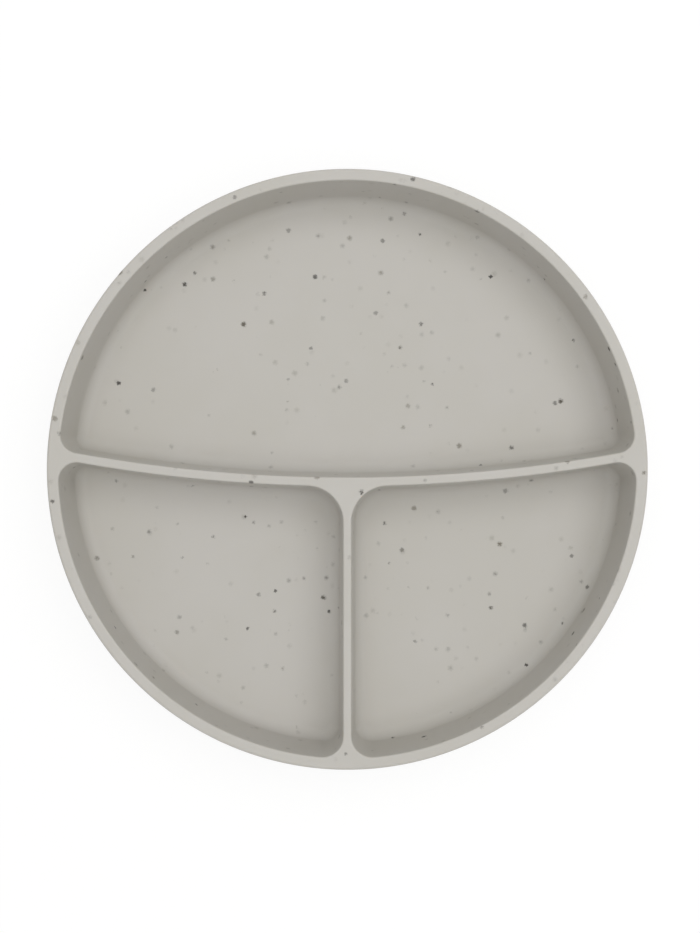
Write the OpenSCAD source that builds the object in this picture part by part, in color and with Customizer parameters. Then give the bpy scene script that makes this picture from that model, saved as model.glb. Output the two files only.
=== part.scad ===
// Round silicone plate for babies: a rim, one large and two small compartments between thin
// dividers, and a suction foot under the floor, all moulded in one piece.
// Millimetres, +Z up. The origin is the middle of the ring that touches the table, and +Y points
// to the large compartment.

/* [Plate] */
// Diameter across the rim
plate_d = 193; // [184:1:240]
// Height of the rim above the table
plate_h = 30; // [26:0.5:45]
// Width of the flat rim, with both of its rounded edges
rim_w = 3.8; // [2.8:0.1:6]
// Thickness of the floor outside the suction foot
floor_t = 3; // [2:0.1:5]
// Height of the floor's underside above the table
floor_lift = 5.4; // [5.4:0.1:8]
// Lean of every wall away from upright, in degrees
draft = 3.8; // [1:0.1:5]
// Radius of the rim's outer edge
rim_edge_r = 1.1; // [0.3:0.1:1.4]
// Radius of the bend between the outer wall and the underside
heel_r = 9; // [5:0.5:10]

/* [Compartments] */
// Radius of the rolled edge along the top of each compartment
roll_r = 0.6; // [0.3:0.1:0.9]
// Radius of the cove between the walls and the floor
cove_r = 4.1; // [1:0.1:4.6]
// Radius of the corners where the long divider meets the rim
cross_corner_r = 5.8; // [5.4:0.1:10]
// Radius of the corners where the short divider meets the rim
stem_corner_r = 6.8; // [5.4:0.1:12]
// Radius of the corners where the two dividers meet
fork_corner_r = 11.8; // [5.4:0.1:20]

/* [Dividers] */
// Thickness of the long divider at its top
cross_t = 2.9; // [2:0.1:6]
// Radius of the long divider's bow, at its centre line
cross_bow_r = 492; // [300:1:2000]
// Place of the long divider's middle along Y
cross_y = -4; // [-12:0.1:8]
// Thickness of the short divider at its top
stem_t = 2.6; // [2:0.1:6]

/* [Suction foot] */
// Diameter of the lip
foot_d = 149; // [142:1:153]
// Diameter of the neck that carries the lip
neck_d = 120; // [114:1:124]
// Diameter of the flat roof inside the foot
roof_d = 100; // [84:1:106]
// Height of the roof above the table
roof_lift = 4.2; // [3.6:0.1:4.4]
// Width of the flat band of the lip that touches the table
land_w = 3.5; // [2.4:0.1:4.5]
// Thickness of the lip at its edge
lip_edge_t = 1; // [0.8:0.1:1.4]
// Thickness of the lip where it leaves the neck
lip_root_t = 1.7; // [1.4:0.1:1.9]
// Radius of the two edges of the lip's rim
lip_edge_r = 0.35; // [0.1:0.05:0.38]
// Radius of the bend between the roof and the lip
roof_bend_r = 30; // [5:1:40]
// Radius of the bends at both ends of the neck
neck_bend_r = 0.6; // [0.2:0.1:0.6]

/* [Release tab] */
// Width of the tab
tab_w = 17; // [14:0.5:26]
// Length of the tab beyond the lip
tab_len = 10; // [8:0.5:11]
// Thickness of the tab
tab_t = 1.5; // [1:0.1:2]
// Gap between the table and the tab
tab_lift = 0.4; // [0.2:0.1:0.6]
// Radius of the tab's outer corners
tab_corner_r = 5; // [1:0.5:5]
// Number of half-round grip ribs on the tab
rib_count = 3; // [1:1:3]
// Diameter of a grip rib
rib_d = 1.2; // [0.6:0.1:1.4]
// Length of a grip rib
rib_len = 11; // [6:0.5:11]
// Distance between neighbouring grip ribs
rib_pitch = 2.4; // [1.8:0.1:2.6]

/* [Hidden] */
silicone = "#bfbeb6";

// Largest gap between a curve in plan and its chords
chord_gap = 0.03;
// Angle covered by one chord of a rounding seen in section
section_step = 12;
// The cove's share of the room that the tightest corner leaves it
cove_room = 0.95;
// Overshoot that carries a cut clear of the rim
over = 1;
$fn = 180;

floor_z = floor_lift + floor_t;
rim_in_r = plate_d / 2 - rim_w;
land_in_r = foot_d / 2 - land_w;
bow_centre = [0, cross_y + cross_bow_r];
// Radii of the long divider's two faces
bow_in_r = cross_bow_r - cross_t / 2;
bow_out_r = cross_bow_r + cross_t / 2;

function polar(r, angle) = r * [cos(angle), sin(angle)];

function heading(from, to) = atan2(to.y - from.y, to.x - from.x);

function unit(v) = v / norm(v);

// Points along an arc. The end is left out where the next arc starts from it.
function arc(centre, r, from, to, steps, with_end = false) =
    [for (i = [0 : steps - (with_end ? 0 : 1)]) centre + polar(r, from + (to - from) * i / steps)];

function steps_in_plan(r, from, to) = max(2, ceil(abs(to - from) / (2 * acos(1 - chord_gap / r))));

function steps_in_section(from, to) = max(2, ceil(abs(to - from) / section_step));

// Profile with rounded corners, from a list of [x, y, radius]
function rounded(corners) =
    let (n = len(corners))
    [
        for (i = [0 : n - 1])
            let (c = corners[i], before = corners[(i + n - 1) % n], after = corners[(i + 1) % n])
            each c.z > 0
                ? bend([before.x, before.y], [c.x, c.y], [after.x, after.y], c.z)
                : [[c.x, c.y]]
    ];

function bend(before, corner, after, r) =
    let (
        back = unit(before - corner),
        ahead = unit(after - corner),
        opening = acos(back * ahead),
        centre = corner + unit(back + ahead) * r / sin(opening / 2),
        from = heading(centre, corner + back * r / tan(opening / 2)),
        to = from + (180 - opening) * sign(cross(ahead, back))
    )
    arc(centre, r, from, to, steps_in_section(from, to), true);

// How far a leaning wall stands in from its line at the rim, at height z
function lean(z) = (plate_h - z) * tan(draft);

// Point in the first quadrant where a circle of radius a round the origin meets a circle of
// radius b round the middle of the long divider's bow
function meeting(a, b) =
    let (y = (a * a - b * b + bow_centre.y * bow_centre.y) / (2 * bow_centre.y))
    [sqrt(a * a - y * y), y];

// Outline of the large compartment, moved inward by inset
function large_outline(inset) =
    let (
        corner = meeting(rim_in_r - cross_corner_r, bow_in_r - cross_corner_r),
        side = heading([0, 0], corner),
        bow = heading(bow_centre, corner),
        n_bow = steps_in_plan(bow_in_r, -180 - bow, bow),
        n_corner = steps_in_plan(cross_corner_r, bow, side),
        n_rim = steps_in_plan(rim_in_r, side, 180 - side)
    )
    concat(
        arc(bow_centre, bow_in_r - inset, -180 - bow, bow, n_bow),
        arc(corner, cross_corner_r - inset, bow, side, n_corner),
        arc([0, 0], rim_in_r - inset, side, 180 - side, n_rim),
        arc([-corner.x, corner.y], cross_corner_r - inset, 180 - side, 180 - bow, n_corner)
    );

// Middles of the three rounded corners of the small compartment on the +X side
cross_corner = meeting(rim_in_r - cross_corner_r, bow_out_r + cross_corner_r);
stem_corner =
    let (x = stem_t / 2 + stem_corner_r)
    [x, -sqrt(pow(rim_in_r - stem_corner_r, 2) - x * x)];
fork_corner =
    let (x = stem_t / 2 + fork_corner_r)
    [x, bow_centre.y - sqrt(pow(bow_out_r + fork_corner_r, 2) - x * x)];

// Outline of the small compartment on the +X side, moved inward by inset
function small_outline(inset) =
    let (
        low = heading([0, 0], stem_corner),
        high = heading([0, 0], cross_corner),
        cross_end = heading(cross_corner, bow_centre),
        fork_end = heading(fork_corner, bow_centre),
        n_stem = steps_in_plan(stem_corner_r, 180, 360 + low),
        n_rim = steps_in_plan(rim_in_r, low, high),
        n_cross = steps_in_plan(cross_corner_r, high, cross_end),
        n_bow = steps_in_plan(bow_out_r, cross_end, fork_end),
        n_fork = steps_in_plan(fork_corner_r, fork_end, 180)
    )
    concat(
        arc(stem_corner, stem_corner_r - inset, 180, 360 + low, n_stem),
        arc([0, 0], rim_in_r - inset, low, high, n_rim),
        arc(cross_corner, cross_corner_r - inset, high, cross_end, n_cross),
        arc(bow_centre, bow_out_r + inset, cross_end - 180, fork_end - 180, n_bow),
        arc(fork_corner, fork_corner_r - inset, fork_end, 180, n_fork, true)
    );

// Section of a compartment's wall from the floor up, as [inset, height]
function wall_section() =
    let (
        tightest = min(cross_corner_r, stem_corner_r, fork_corner_r),
        cove = min(cove_r, cove_room * (tightest - lean(floor_z))),
        foot = [lean(floor_z + cove) + cove / cos(draft), floor_z + cove],
        top = [-roll_r * (1 - sin(draft)) / cos(draft), plate_h - roll_r]
    )
    concat(
        arc(foot, cove, 270, 180 + draft, steps_in_section(180 + draft, 270), true),
        arc(top, roll_r, draft, 90, steps_in_section(draft, 90), true),
        [[top.x, plate_h + over]]
    );

// Solid through rings of equally many points, one above the other, closed by fans round the middle
module loft(rings, middle) {
    n = len(rings[0]);
    last = len(rings) - 1;
    floor_point = n * len(rings);
    top_point = floor_point + 1;
    points = concat(
        [for (ring = rings) each ring],
        [[middle.x, middle.y, rings[0][0].z], [middle.x, middle.y, rings[last][0].z]]
    );
    sides = [
        for (k = [0 : last - 1], i = [0 : n - 1])
            let (j = (i + 1) % n, low = k * n, high = low + n)
            each [[low + i, high + i, high + j], [low + i, high + j, low + j]]
    ];
    ends = [
        for (i = [0 : n - 1])
            let (j = (i + 1) % n)
            each [[floor_point, i, j], [top_point, last * n + j, last * n + i]]
    ];
    polyhedron(points, concat(sides, ends));
}

function at_height(outline, z) = [for (p = outline) [p.x, p.y, z]];

module large_compartment() {
    loft([for (p = wall_section()) at_height(large_outline(p.x), p.y)], [0, rim_in_r / 2]);
}

module small_compartment() {
    middle = (cross_corner + stem_corner + fork_corner) / 3;
    loft([for (p = wall_section()) at_height(small_outline(p.x), p.y)], middle);
}

// Everything turned round the axis: the tray as a solid block, and the suction foot under it
module turned_body() {
    // The wall's line passes the rim by as much as the rounded edge falls short of it
    wall_r = plate_d / 2 + rim_edge_r * ((1 + sin(draft)) / cos(draft) - 1);
    // Height of the lip's lower face under the neck
    lip_z = roof_lift * (land_in_r - neck_d / 2) / (land_in_r - roof_d / 2);
    rotate_extrude()
        polygon(rounded([
            [0, roof_lift, 0],
            [roof_d / 2, roof_lift, roof_bend_r],
            [land_in_r, 0, 0],
            [foot_d / 2, 0, lip_edge_r],
            [foot_d / 2, lip_edge_t, lip_edge_r],
            [neck_d / 2, lip_z + lip_root_t, neck_bend_r],
            [neck_d / 2, floor_lift, neck_bend_r],
            [wall_r - lean(floor_lift), floor_lift, heel_r],
            [wall_r, plate_h, rim_edge_r],
            [0, plate_h, 0]
        ]));
}

// Tongue on the lip's edge that breaks the seal when it is lifted
module release_tab() {
    end = foot_d / 2 + tab_len;
    translate([0, 0, tab_lift]) {
        linear_extrude(tab_t)
            polygon(rounded([
                [-tab_w / 2, -end, tab_corner_r],
                [tab_w / 2, -end, tab_corner_r],
                [tab_w / 2, -land_in_r, 0],
                [-tab_w / 2, -land_in_r, 0]
            ]));
        for (i = [0 : rib_count - 1])
            translate([0, -foot_d / 2 - tab_len / 2 + (i - (rib_count - 1) / 2) * rib_pitch, tab_t])
                rotate([0, 90, 0]) cylinder(d = rib_d, h = rib_len, center = true, $fn = 24);
    }
}

module plate() {
    color(silicone)
        union() {
            difference() {
                turned_body();
                large_compartment();
                small_compartment();
                mirror([1, 0, 0]) small_compartment();
            }
            release_tab();
        }
}

plate();
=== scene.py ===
import math
from collections import namedtuple

import bmesh
import bpy
from mathutils import Matrix, Vector
from mathutils.geometry import delaunay_2d_cdt


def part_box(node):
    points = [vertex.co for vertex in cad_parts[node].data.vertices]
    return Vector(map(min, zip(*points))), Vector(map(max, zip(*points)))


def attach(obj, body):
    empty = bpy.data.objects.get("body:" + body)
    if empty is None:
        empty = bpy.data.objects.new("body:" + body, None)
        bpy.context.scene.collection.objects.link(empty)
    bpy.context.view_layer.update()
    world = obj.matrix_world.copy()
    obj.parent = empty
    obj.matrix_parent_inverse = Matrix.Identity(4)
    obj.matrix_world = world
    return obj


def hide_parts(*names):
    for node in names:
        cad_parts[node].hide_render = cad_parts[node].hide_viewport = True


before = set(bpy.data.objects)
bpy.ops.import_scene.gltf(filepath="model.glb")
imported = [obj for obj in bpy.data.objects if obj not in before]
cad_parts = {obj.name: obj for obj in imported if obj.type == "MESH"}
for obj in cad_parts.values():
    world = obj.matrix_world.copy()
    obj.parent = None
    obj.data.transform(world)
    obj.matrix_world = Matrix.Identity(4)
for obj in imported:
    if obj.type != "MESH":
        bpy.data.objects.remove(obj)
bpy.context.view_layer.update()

MM = 0.001
low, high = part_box("plate")

# Tray
RIM_R = (high[0] - low[0]) / 2
PLATE_H = high[2]
RIM_W = 3.8 * MM
FLOOR_T = 3 * MM
FLOOR_LIFT = 5.4 * MM
DRAFT = math.radians(3.8)
RIM_EDGE_R = 1.1 * MM
HEEL_R = 9 * MM

# Compartments and dividers
ROLL_R = 0.6 * MM
COVE_R = 4.1 * MM
CROSS_CORNER_R = 5.8 * MM
STEM_CORNER_R = 6.8 * MM
FORK_CORNER_R = 11.8 * MM
CROSS_T = 2.9 * MM
CROSS_BOW_R = 492 * MM
CROSS_Y = -4 * MM
STEM_T = 2.6 * MM

# Suction foot
FOOT_R = 74.5 * MM
NECK_R = 60 * MM
ROOF_R = 50 * MM
ROOF_LIFT = 4.2 * MM
LAND_W = 3.5 * MM
LIP_EDGE_T = 1 * MM
LIP_ROOT_T = 1.7 * MM
LIP_EDGE_R = 0.35 * MM
ROOF_BEND_R = 30 * MM
NECK_BEND_R = 0.6 * MM

# Release tab
TAB_W = 17 * MM
TAB_LEN = 10 * MM
TAB_T = 1.5 * MM
TAB_LIFT = 0.4 * MM
TAB_CORNER_R = 5 * MM
TAB_EDGE_R = 0.3 * MM
# The tab starts inside the lip, this far out from the inner edge of the contact band
TAB_START = 1 * MM
RIB_COUNT = 3
RIB_R = 0.6 * MM
RIB_LEN = 11 * MM
RIB_PITCH = 2.4 * MM

# Fineness of the mesh: chords in plan, steps in section, steps of one turn
CHORD_GAP = 0.006 * MM
SECTION_STEP = math.radians(6)
MIN_STEPS = 2
TURNS = 360
# The rolled edge is small and catches the light, so its steps are finer by this factor
ROLL_FINENESS = 2
TAB_EDGE_STEPS = 4
ROUND_PROFILE = 0.5
RIB_SIDES = 32
SAME_POINT = 1e-9
SLIVER = 0.002 * MM
SHARP_ANGLE = math.radians(40)

FLOOR_Z = FLOOR_LIFT + FLOOR_T
RIM_IN_R = RIM_R - RIM_W
LAND_IN_R = FOOT_R - LAND_W
BOW_CENTRE = Vector((0, CROSS_Y + CROSS_BOW_R))
BOW_IN_R = CROSS_BOW_R - CROSS_T / 2
BOW_OUT_R = CROSS_BOW_R + CROSS_T / 2
ORIGIN = Vector((0, 0))
# Points from which the compartments' floors fan out
LARGE_MIDDLE = Vector((0, RIM_IN_R / 2, FLOOR_Z))
SMALL_MIDDLE = Vector((RIM_IN_R / 2.5, -RIM_IN_R / 2.5, FLOOR_Z))
MIRROR_X = Vector((-1, 1, 1))


# Curves in the plane

def polar(r, angle):
    return Vector((r * math.cos(angle), r * math.sin(angle)))


def heading(start, end):
    return math.atan2(end.y - start.y, end.x - start.x)


def arc(centre, r, start, end, steps, with_end=False):
    """Points along an arc. The end is left out where the next arc starts from it."""
    count = steps + 1 if with_end else steps
    return [centre + polar(r, start + (end - start) * i / steps) for i in range(count)]


def steps_in_plan(r, start, end):
    chord = 2 * math.acos(1 - CHORD_GAP / r)
    return max(MIN_STEPS, math.ceil(abs(end - start) / chord))


def steps_in_section(start, end):
    return max(MIN_STEPS, math.ceil(abs(end - start) / SECTION_STEP))


def bend(before, corner, after, r):
    """Arc of radius r that rounds a corner between its two neighbours."""
    back = (before - corner).normalized()
    ahead = (after - corner).normalized()
    opening = math.acos(back.dot(ahead))
    centre = corner + (back + ahead).normalized() * r / math.sin(opening / 2)
    start = heading(centre, corner + back * r / math.tan(opening / 2))
    turn = math.copysign(math.pi - opening, ahead.x * back.y - ahead.y * back.x)
    return arc(centre, r, start, start + turn, steps_in_section(0, turn), True)


def rounded(corners):
    """Closed profile with rounded corners, from (x, y, radius) for each corner."""
    places = [Vector((x, y)) for x, y, _ in corners]
    points = []
    for i, (_, _, r) in enumerate(corners):
        after = places[(i + 1) % len(places)]
        points += bend(places[i - 1], places[i], after, r) if r else [places[i]]
    return points


def lean(z):
    """How far a leaning wall stands in from its line at the rim, at height z."""
    return (PLATE_H - z) * math.tan(DRAFT)


def meeting(a, b):
    """Where a circle of radius a round the origin meets one of radius b round the bow's centre."""
    far = BOW_CENTRE.y
    y = (a * a - b * b + far * far) / (2 * far)
    return Vector((math.sqrt(a * a - y * y), y))


def large_outline(inset):
    """Outline of the large compartment, moved inward by inset."""
    corner = meeting(RIM_IN_R - CROSS_CORNER_R, BOW_IN_R - CROSS_CORNER_R)
    mirrored = Vector((-corner.x, corner.y))
    side = heading(ORIGIN, corner)
    bow = heading(BOW_CENTRE, corner)
    n_corner = steps_in_plan(CROSS_CORNER_R, bow, side)
    n_bow = steps_in_plan(BOW_IN_R, -math.pi - bow, bow)
    n_rim = steps_in_plan(RIM_IN_R, side, math.pi - side)
    return (
        arc(BOW_CENTRE, BOW_IN_R - inset, -math.pi - bow, bow, n_bow)
        + arc(corner, CROSS_CORNER_R - inset, bow, side, n_corner)
        + arc(ORIGIN, RIM_IN_R - inset, side, math.pi - side, n_rim)
        + arc(mirrored, CROSS_CORNER_R - inset, math.pi - side, math.pi - bow, n_corner)
    )


def small_outline(inset):
    """Outline of the small compartment on the +X side, moved inward by inset."""
    cross = meeting(RIM_IN_R - CROSS_CORNER_R, BOW_OUT_R + CROSS_CORNER_R)
    x = STEM_T / 2 + STEM_CORNER_R
    stem = Vector((x, -math.sqrt((RIM_IN_R - STEM_CORNER_R) ** 2 - x * x)))
    x = STEM_T / 2 + FORK_CORNER_R
    fork = Vector((x, BOW_CENTRE.y - math.sqrt((BOW_OUT_R + FORK_CORNER_R) ** 2 - x * x)))
    bottom = heading(ORIGIN, stem)
    side = heading(ORIGIN, cross)
    cross_end = heading(cross, BOW_CENTRE)
    fork_end = heading(fork, BOW_CENTRE)
    n_stem = steps_in_plan(STEM_CORNER_R, math.pi, math.tau + bottom)
    n_rim = steps_in_plan(RIM_IN_R, bottom, side)
    n_cross = steps_in_plan(CROSS_CORNER_R, side, cross_end)
    n_bow = steps_in_plan(BOW_OUT_R, cross_end, fork_end)
    n_fork = steps_in_plan(FORK_CORNER_R, fork_end, math.pi)
    return (
        arc(stem, STEM_CORNER_R - inset, math.pi, math.tau + bottom, n_stem)
        + arc(ORIGIN, RIM_IN_R - inset, bottom, side, n_rim)
        + arc(cross, CROSS_CORNER_R - inset, side, cross_end, n_cross)
        + arc(BOW_CENTRE, BOW_OUT_R + inset, cross_end - math.pi, fork_end - math.pi, n_bow)
        + arc(fork, FORK_CORNER_R - inset, fork_end, math.pi, n_fork, True)
    )


def wall_section():
    """Section of a compartment's wall from the floor up to the rim, as (inset, height)."""
    foot_z = FLOOR_Z + COVE_R
    foot = Vector((lean(foot_z) + COVE_R / math.cos(DRAFT), foot_z))
    top = Vector((-ROLL_R * (1 - math.sin(DRAFT)) / math.cos(DRAFT), PLATE_H - ROLL_R))
    cove = (math.radians(270), math.pi + DRAFT)
    roll = (DRAFT, math.radians(90))
    return (
        arc(foot, COVE_R, *cove, steps_in_section(*cove), True)
        + arc(top, ROLL_R, *roll, ROLL_FINENESS * steps_in_section(*roll), True)
    )


def body_profile():
    """Section of everything turned round the axis, from the roof of the foot out and up."""
    # The wall's line passes the rim by as much as the rounded edge falls short of it
    wall_r = RIM_R + RIM_EDGE_R * ((1 + math.sin(DRAFT)) / math.cos(DRAFT) - 1)
    # Height of the lip's lower face under the neck
    lip_z = ROOF_LIFT * (LAND_IN_R - NECK_R) / (LAND_IN_R - ROOF_R)
    closed = rounded([
        (0, ROOF_LIFT, 0),
        (ROOF_R, ROOF_LIFT, ROOF_BEND_R),
        (LAND_IN_R, 0, 0),
        (FOOT_R, 0, LIP_EDGE_R),
        (FOOT_R, LIP_EDGE_T, LIP_EDGE_R),
        (NECK_R, lip_z + LIP_ROOT_T, NECK_BEND_R),
        (NECK_R, FLOOR_LIFT, NECK_BEND_R),
        (wall_r - lean(FLOOR_LIFT), FLOOR_LIFT, HEEL_R),
        (wall_r, PLATE_H, RIM_EDGE_R),
        (0, PLATE_H, 0),
    ])
    return closed[:-1]


# Building the moulding

def new_mesh(name, form):
    """Mesh made from a bmesh, which is freed."""
    mesh = bpy.data.meshes.new(name)
    form.to_mesh(mesh)
    form.free()
    return mesh


def new_object(name, data):
    piece = bpy.data.objects.new(name, data)
    bpy.context.scene.collection.objects.link(piece)
    return piece


class Shell:
    """One closed surface, built from rings of points."""

    def __init__(self):
        self.points = []
        self.faces = []

    def ring(self, flat, z):
        start = len(self.points)
        self.points += [Vector((p.x, p.y, z)) for p in flat]
        return list(range(start, len(self.points)))

    def strip(self, a, b):
        for i in range(len(a)):
            j = (i + 1) % len(a)
            self.faces.append((a[i], a[j], b[j], b[i]))

    def cap(self, ring, middle):
        self.points.append(middle)
        centre = len(self.points) - 1
        for i in range(len(ring)):
            self.faces.append((ring[i], ring[(i + 1) % len(ring)], centre))

    def stack(self, rings):
        for a, b in zip(rings, rings[1:]):
            self.strip(a, b)

    def mesh(self, name):
        form = bmesh.new()
        vertices = [form.verts.new(p) for p in self.points]
        for face in self.faces:
            form.faces.new([vertices[i] for i in face])
        bmesh.ops.recalc_face_normals(form, faces=form.faces)
        return new_mesh(name, form)


def crossings(point, loop):
    """How often a ray from the point towards +X crosses a closed loop."""
    count = 0
    for a, b in zip(loop, loop[1:] + loop[:1]):
        if (a.y > point.y) != (b.y > point.y):
            count += point.x < a.x + (b.x - a.x) * (point.y - a.y) / (b.y - a.y)
    return count


def top_face(shell, rim, holes):
    """Flat top of the rim and dividers, between the rim's ring and the compartments' rings."""
    members = [i for loop in [rim] + holes for i in loop]
    flat = [shell.points[i].xy for i in members]
    edges = []
    loops = []
    start = 0
    for loop in [rim] + holes:
        n = len(loop)
        edges += [(start + i, start + (i + 1) % n) for i in range(n)]
        loops.append(flat[start:start + n])
        start += n
    # Output type 0 fills the whole hull, so triangles in the holes are passed over below
    places, _, triangles, sources, _, _ = delaunay_2d_cdt(flat, edges, [], 0, SAME_POINT)
    for triangle in triangles:
        middle = sum((places[i] for i in triangle), ORIGIN) / 3
        if sum(crossings(middle, loop) for loop in loops) % 2:
            shell.faces.append(tuple(members[sources[i][0]] for i in triangle))


def tray_shell():
    shell = Shell()
    profile = body_profile()
    step = math.tau / TURNS
    rings = [
        shell.ring([polar(p.x, step * i) for i in range(TURNS)], p.y) for p in profile[1:]
    ]
    shell.cap(rings[0], Vector((0, 0, profile[0].y)))
    shell.stack(rings)
    tops = []
    for outline, side, middle in (
        (large_outline, 1, LARGE_MIDDLE),
        (small_outline, 1, SMALL_MIDDLE),
        (small_outline, -1, SMALL_MIDDLE * MIRROR_X),
    ):
        walls = []
        for place in wall_section():
            flat = [Vector((side * p.x, p.y)) for p in outline(place.x)]
            walls.append(shell.ring(flat, place.y))
        shell.cap(walls[0], middle)
        shell.stack(walls)
        tops.append(walls[-1])
    top_face(shell, rings[-1], tops)
    return shell


def unite(base, extra):
    """Joins extra's solid to base's, and removes extra."""
    union = base.modifiers.new("union", "BOOLEAN")
    union.operation = "UNION"
    union.solver = "EXACT"
    union.object = extra
    graph = bpy.context.evaluated_depsgraph_get()
    mesh = bpy.data.meshes.new_from_object(base.evaluated_get(graph))
    base.modifiers.clear()
    base.data = mesh
    bpy.data.objects.remove(extra)


def clean(mesh):
    """Takes out the slivers that a union leaves where edges nearly meet."""
    form = bmesh.new()
    form.from_mesh(mesh)
    bmesh.ops.remove_doubles(form, verts=form.verts, dist=SLIVER)
    bmesh.ops.dissolve_degenerate(form, edges=form.edges, dist=SLIVER)
    form.to_mesh(mesh)
    form.free()


def tongue():
    """The tab's flat tongue, with soft edges."""
    end = FOOT_R + TAB_LEN
    start = LAND_IN_R + TAB_START
    outline = rounded([
        (-TAB_W / 2, -end, TAB_CORNER_R),
        (TAB_W / 2, -end, TAB_CORNER_R),
        (TAB_W / 2, -start, 0),
        (-TAB_W / 2, -start, 0),
    ])
    form = bmesh.new()
    face = form.faces.new([form.verts.new((p.x, p.y, TAB_LIFT)) for p in outline])
    raised = bmesh.ops.extrude_face_region(form, geom=[face])["geom"]
    top = [v for v in raised if isinstance(v, bmesh.types.BMVert)]
    bmesh.ops.translate(form, verts=top, vec=(0, 0, TAB_T))
    bmesh.ops.recalc_face_normals(form, faces=form.faces)
    level = [e for e in form.edges if abs(e.verts[0].co.z - e.verts[1].co.z) < TAB_T / 2]
    bmesh.ops.bevel(
        form, geom=level, offset=TAB_EDGE_R, segments=TAB_EDGE_STEPS, affect="EDGES",
        profile=ROUND_PROFILE)
    return new_mesh("tab", form)


def grip_rib(y):
    """Bar lying across the tab at y, half sunk in its top."""
    lay_down = Matrix.Rotation(math.pi / 2, 4, "Y")
    place = Matrix.Translation((0, y, TAB_LIFT + TAB_T)) @ lay_down
    form = bmesh.new()
    bmesh.ops.create_cone(
        form, cap_ends=True, segments=RIB_SIDES, radius1=RIB_R, radius2=RIB_R, depth=RIB_LEN,
        matrix=place)
    return new_mesh("rib", form)


def tab_object():
    tab = new_object("tab", tongue())
    for i in range(RIB_COUNT):
        y = -FOOT_R - TAB_LEN / 2 + (i - (RIB_COUNT - 1) / 2) * RIB_PITCH
        unite(tab, new_object("rib", grip_rib(y)))
    return tab


def build_plate():
    plate = new_object("moulded_plate", tray_shell().mesh("moulded_plate"))
    unite(plate, tab_object())
    clean(plate.data)
    plate.data.shade_smooth()
    plate.data.set_sharp_from_angle(angle=SHARP_ANGLE)
    weights = plate.modifiers.new("flat_faces_stay_flat", "WEIGHTED_NORMAL")
    weights.keep_sharp = True
    return plate


# Materials

class Nodes:
    """Short calls for wiring the nodes of a material or a world."""

    def __init__(self, owner):
        owner.use_nodes = True
        self.tree = owner.node_tree
        self.tree.nodes.clear()

    def add(self, kind, settings=None, **inputs):
        """New node. Inputs are sockets to link or values to set, an underscore standing for a
        space in the name."""
        node = self.tree.nodes.new(kind)
        for key, value in (settings or {}).items():
            setattr(node, key, value)
        for key, value in inputs.items():
            self.feed(node.inputs[key.replace("_", " ")], value)
        return node

    def feed(self, socket, value):
        if isinstance(value, bpy.types.NodeSocket):
            self.tree.links.new(value, socket)
        else:
            socket.default_value = value

    def add_in_order(self, kind, settings, *values):
        """New node whose first inputs get the values, for nodes with inputs of the same name."""
        node = self.add(kind, settings)
        for socket, value in zip(node.inputs, values):
            self.feed(socket, value)
        return node

    def math(self, operation, *values):
        return self.add_in_order("ShaderNodeMath", {"operation": operation}, *values).outputs[0]

    def vector_math(self, operation, *values):
        return self.add_in_order("ShaderNodeVectorMath", {"operation": operation}, *values).outputs

    def noise(self, place, scale, detail, seed=None):
        """Noise through the object. A seed moves it along a fourth axis."""
        noise = self.add("ShaderNodeTexNoise", Vector=place, Scale=scale, Detail=detail)
        if seed is not None:
            noise.noise_dimensions = "4D"
            noise.inputs["W"].default_value = seed
        return noise.outputs["Fac"]

    def ramp(self, value, from_low, from_high, to_low=0.0, to_high=1.0):
        """Smooth step of a value from one range to another."""
        return self.add(
            "ShaderNodeMapRange", {"interpolation_type": "SMOOTHSTEP"}, Value=value,
            From_Min=from_low, From_Max=from_high, To_Min=to_low, To_Max=to_high).outputs[0]

    def mix(self, factor, a, b):
        """Mix of two colours, which are the node's inputs 6 and 7 and its output 2."""
        node = self.add("ShaderNodeMix", {"data_type": "RGBA"})
        for index, value in ((0, factor), (6, a), (7, b)):
            self.feed(node.inputs[index], value)
        return node.outputs[2]


def linear(red, green, blue):
    """Colour written as 0 to 255 display values, as the linear colour that nodes take."""
    parts = (c / 255 for c in (red, green, blue))
    levels = tuple(c / 12.92 if c <= 0.04045 else ((c + 0.055) / 1.055) ** 2.4 for c in parts)
    return levels + (1.0,)


WHITE = (1.0, 1.0, 1.0, 1.0)
GREIGE = linear(193, 190, 184)
WARM_GREIGE = linear(191, 188, 181)
DARK_SPECK = linear(58, 55, 51)
BROWN_SPECK = linear(92, 84, 66)

# Cell size, largest radius, share of the radius that is core, share of cells with a speck,
# deepest and faintest tint, shift that keeps the layers from repeating each other
SpeckLayer = namedtuple("SpeckLayer", "cell radius core share deepest faintest shift")
# Fainter specks lie deeper in the silicone and are softer
SPECK_LAYERS = (
    SpeckLayer(6.6 * MM, 1.20 * MM, 0.42, 0.55, 0.98, 0.46, (0.1, 0.1, 0.2)),
    SpeckLayer(5.4 * MM, 1.28 * MM, 0.00, 0.49, 0.60, 0.19, (0.8, 0.1, 0.6)),
    SpeckLayer(3.8 * MM, 1.40 * MM, 0.00, 0.25, 0.33, 0.10, (0.1, 0.7, 0.1)),
)
# Radius of the smallest specks, as a share of the largest
SMALLEST_SPECK = 0.55
# Where a speck has faded out, as a share of its radius
SPECK_FADE = 1.05
# How uneven a speck's edge is, as a share of its radius
RAGGED = 0.9
# From the first of these draws of size on, specks turn brown
BROWN_SIZES = (0.7, 0.95)

# Noises: waves to the metre and detail, and the range of values that is stretched to the full one
CLOUD_NOISE = (28.0, 3.0)
CLOUD_RANGE = (0.35, 0.65)
PATCH_NOISE = (24.0, 1.0)
PATCH_RANGE = (0.35, 0.62)
PATCH_SEED = 1.0
RAGGED_NOISE = (1900.0, 1.0)
GRAIN_NOISE = (2600.0, 2.0)
GRAIN_RANGE = (0.3, 0.7)
NOISE_MIDDLE = 0.5
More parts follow.
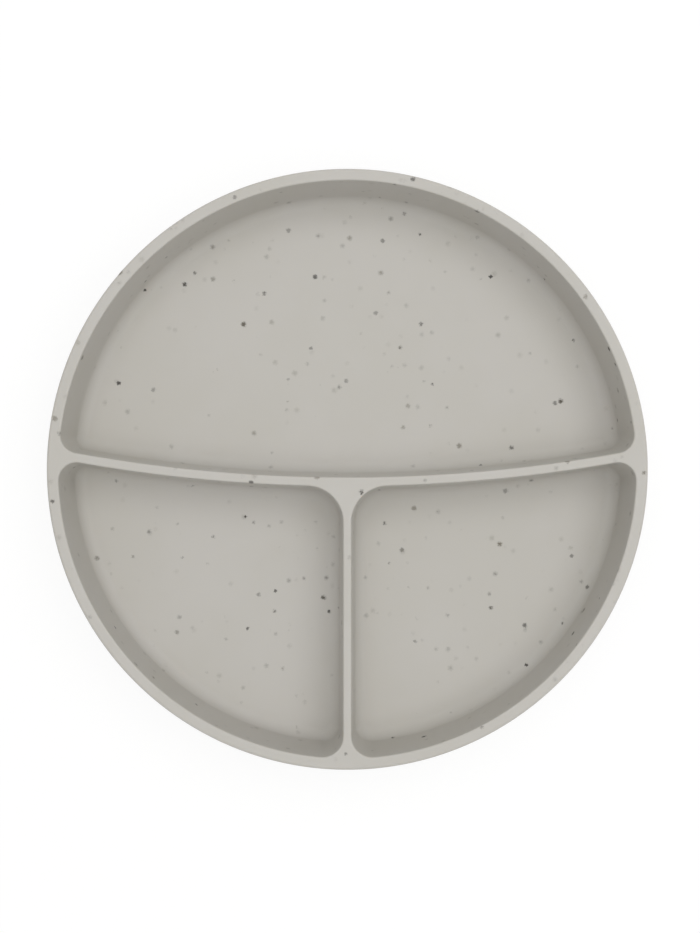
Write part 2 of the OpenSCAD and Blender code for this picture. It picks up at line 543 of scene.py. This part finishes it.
# Factor on the share of cells with a speck, in the emptiest and the fullest patches
PATCH_FACTORS = (0.45, 1.15)

ROUGHNESS = (0.54, 0.64)
BUMP_STRENGTH = 0.06
BUMP_HEIGHT = 0.05 * MM
SILICONE_IOR = 1.41
SUBSURFACE = 0.25
SUBSURFACE_REACH = 2 * MM
# Share of that reach for red, green and blue
SUBSURFACE_SPREAD = (1.0, 0.9, 0.75)


def speck_layer(nodes, place, patches, wobble, layer):
    """Mask and colour choice of one size of speck: small blobs at scattered points of space."""
    shifted = nodes.vector_math("ADD", place, layer.shift)["Vector"]
    voronoi = nodes.add(
        "ShaderNodeTexVoronoi", {"feature": "F1"}, Vector=shifted, Scale=1 / layer.cell)
    # A cell's colour also places its point, so the chances are drawn anew from it
    drawn = nodes.add("ShaderNodeTexWhiteNoise", Vector=voronoi.outputs["Color"])
    chances = nodes.add("ShaderNodeSeparateColor", Color=drawn.outputs["Color"])
    size, depth, chance = (chances.outputs[i] for i in range(3))
    reach = nodes.math("MULTIPLY_ADD", size, 1 - SMALLEST_SPECK, SMALLEST_SPECK)
    distance = nodes.math("ADD", voronoi.outputs["Distance"], wobble)
    edge = nodes.math("DIVIDE", distance, nodes.math("MULTIPLY", reach, layer.radius / layer.cell))
    blob = nodes.ramp(edge, SPECK_FADE, layer.core)
    present = nodes.math("LESS_THAN", chance, nodes.math("MULTIPLY", patches, layer.share))
    tint = nodes.ramp(depth, 0.0, 1.0, layer.faintest, layer.deepest)
    return nodes.math("MULTIPLY", nodes.math("MULTIPLY", blob, present), tint), size


def silicone():
    material = bpy.data.materials.new("speckled_silicone")
    nodes = Nodes(material)
    place = nodes.add("ShaderNodeTexCoord").outputs["Object"]
    # Slow change of tone
    cloud = nodes.noise(place, *CLOUD_NOISE)
    colour = nodes.mix(nodes.ramp(cloud, *CLOUD_RANGE), GREIGE, WARM_GREIGE)
    # Specks gather in patches, and an uneven edge keeps them from being round
    patch = nodes.noise(place, *PATCH_NOISE, PATCH_SEED)
    patches = nodes.ramp(patch, *PATCH_RANGE, *PATCH_FACTORS)
    ragged = nodes.math("SUBTRACT", nodes.noise(place, *RAGGED_NOISE), NOISE_MIDDLE)
    for layer in SPECK_LAYERS:
        wobble = nodes.math("MULTIPLY", ragged, layer.radius / layer.cell * RAGGED)
        mask, choice = speck_layer(nodes, place, patches, wobble, layer)
        speck = nodes.mix(nodes.ramp(choice, *BROWN_SIZES), DARK_SPECK, BROWN_SPECK)
        colour = nodes.mix(mask, colour, speck)
    # Fine bloom of a matte moulding
    grain = nodes.noise(place, *GRAIN_NOISE)
    bump = nodes.add(
        "ShaderNodeBump", Strength=BUMP_STRENGTH, Distance=BUMP_HEIGHT, Height=grain)
    shader = nodes.add(
        "ShaderNodeBsdfPrincipled", Base_Color=colour,
        Roughness=nodes.ramp(grain, *GRAIN_RANGE, *ROUGHNESS), Normal=bump.outputs[0],
        IOR=SILICONE_IOR, Subsurface_Weight=SUBSURFACE, Subsurface_Radius=SUBSURFACE_SPREAD,
        Subsurface_Scale=SUBSURFACE_REACH)
    nodes.add("ShaderNodeOutputMaterial", Surface=shader.outputs[0])
    return material


def seen_directly(nodes):
    """1 for camera, mirror and glass rays, 0 for the rays that light the object."""
    path = nodes.add("ShaderNodeLightPath").outputs
    mirrored = nodes.math("MAXIMUM", path["Is Glossy Ray"], path["Is Transmission Ray"])
    return nodes.math("MAXIMUM", path["Is Camera Ray"], mirrored)


FLOOR_COLOUR = linear(240, 240, 239)
# Share of the seen floor that is plain white beside the plate. The rest takes light and shadow,
# and fades out between the two distances, so that no horizon shows.
FLOOR_WHITE = 0.8
FLOOR_GLOW = 1.05
FADE_FROM = 0.2
FADE_TO = 0.7


def floor_material():
    material = bpy.data.materials.new("pale_floor")
    nodes = Nodes(material)
    lit = nodes.add("ShaderNodeBsdfDiffuse", Color=FLOOR_COLOUR)
    white = nodes.add("ShaderNodeEmission", Color=WHITE, Strength=FLOOR_GLOW)
    place = nodes.add("ShaderNodeTexCoord").outputs["Object"]
    away = nodes.vector_math("LENGTH", place)["Value"]
    share = nodes.ramp(away, FADE_FROM, FADE_TO, FLOOR_WHITE, 1.0)
    factor = nodes.math("MULTIPLY", seen_directly(nodes), share)
    blend = nodes.add_in_order(
        "ShaderNodeMixShader", None, factor, lit.outputs[0], white.outputs[0])
    nodes.add("ShaderNodeOutputMaterial", Surface=blend.outputs[0])
    return material


# Studio

FLOOR_HALF = 4.0
# Gap that keeps the floor out of the plane of the foot's contact band
FLOOR_DROP = 0.1 * MM
WORLD_LEVEL = 0.505
SOFTBOX_D = 1.6
SOFTBOX_PLACE = Vector((0.19, 0.13, 1.2))
SOFTBOX_WATTS = 10.0


def build_floor():
    form = bmesh.new()
    bmesh.ops.create_grid(form, x_segments=1, y_segments=1, size=FLOOR_HALF)
    floor = new_object("floor", new_mesh("floor", form))
    floor.location.z = -FLOOR_DROP
    floor.data.materials.append(floor_material())


def build_world():
    """White to the eye, and dimmer as a light on the object."""
    world = bpy.data.worlds.new("studio")
    nodes = Nodes(world)
    level = nodes.ramp(seen_directly(nodes), 0.0, 1.0, WORLD_LEVEL, 1.0)
    background = nodes.add("ShaderNodeBackground", Color=WHITE, Strength=level)
    nodes.add("ShaderNodeOutputWorld", Surface=background.outputs[0])
    bpy.context.scene.world = world


def build_light():
    lamp = bpy.data.lights.new("softbox", "AREA")
    lamp.shape = "DISK"
    lamp.size = SOFTBOX_D
    lamp.energy = SOFTBOX_WATTS
    softbox = new_object("softbox", lamp)
    softbox.location = SOFTBOX_PLACE
    softbox.rotation_euler = SOFTBOX_PLACE.to_track_quat("Z", "Y").to_euler()


# Camera: straight above the plate, as in the photograph

SENSOR = 36.0
CAMERA_RISE = 0.4
# Height of what the picture shows in the plane of the rim
VIEW_H = 0.2989
# The plate's middle shows 2.7 px left of and 2.8 px below the picture's middle
CAMERA_X = 0.87 * MM
CAMERA_Y = 0.90 * MM


def build_camera():
    camera = bpy.data.cameras.new("camera")
    camera.sensor_width = SENSOR
    camera.lens = SENSOR * CAMERA_RISE / VIEW_H
    holder = new_object("camera", camera)
    holder.location = (CAMERA_X, CAMERA_Y, PLATE_H + CAMERA_RISE)
    bpy.context.scene.camera = holder


build_camera()
build_light()
build_world()
build_floor()

plate = build_plate()
plate.data.materials.append(silicone())
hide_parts("plate")
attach(plate, "root")

bpy.context.scene.view_settings.view_transform = "Standard"
